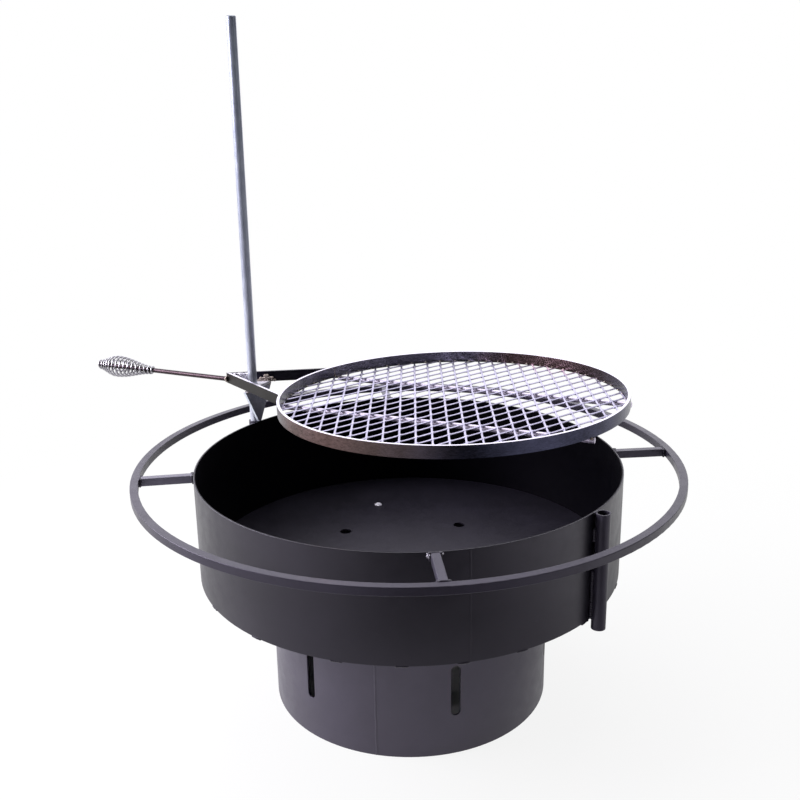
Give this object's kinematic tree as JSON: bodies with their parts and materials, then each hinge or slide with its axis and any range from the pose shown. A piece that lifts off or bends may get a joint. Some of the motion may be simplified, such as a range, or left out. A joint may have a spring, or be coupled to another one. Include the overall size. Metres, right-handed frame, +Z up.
{
  "type": "fire pit with swing grill",
  "caption": "Round steel fire bowl on a slotted drum base, with an outer ring and a round expanded-metal grill that swings and slides on a post.",
  "frame": {"origin": "on the ground under the centre of the bowl", "axes": "+Z up; +X along the right-hand arm of the outer ring; the grill post stands at 135.8 degrees from +X"},
  "size_m": [1.1086, 0.9835, 1.212],
  "materials": {
    "char_paint": "satin charcoal high-heat paint",
    "zinc": "bright zinc plate with faint streaks",
    "raw_steel": "bare mill-finish steel",
    "spring_chrome": "bright wound wire"
  },
  "bodies": {
    "pit": {"bowl_shell": "char_paint", "bowl_floor": "char_paint", "base_drum": "char_paint", "base_tab_1": "char_paint", "base_tab_2": "char_paint", "base_tab_3": "char_paint", "floor_bolts": "zinc", "floor_washers": "zinc", "floor_nuts": "zinc", "outer_ring": "char_paint", "ring_arm_right": "char_paint", "ring_arm_back": "char_paint", "ring_arm_left": "char_paint", "ring_arm_front": "char_paint", "post_socket": "char_paint", "post_socket_stop": "char_paint", "spare_socket": "char_paint", "spare_socket_stop": "char_paint"},
    "post": {"post": "zinc"},
    "grill": {"pivot_plate": "zinc", "brace_plate": "zinc", "near_arm": "raw_steel", "far_arm": "raw_steel", "grill_hoop": "raw_steel", "grill_mesh": "raw_steel", "support_rod_near": "raw_steel", "support_rod_far": "raw_steel", "handle_rod": "raw_steel", "spring_grip": "spring_chrome"}
  },
  "joints": [
    {"name": "swing", "type": "hinge", "parent": "pit", "child": "post", "pos_m": [-0.28196, 0.2742, 0.442], "axis": [0, 0, 1], "continuous": true},
    {"name": "height", "type": "slide", "parent": "post", "child": "grill", "axis": [0, 0, 1], "range_m": [0, 0.67]}
  ]
}
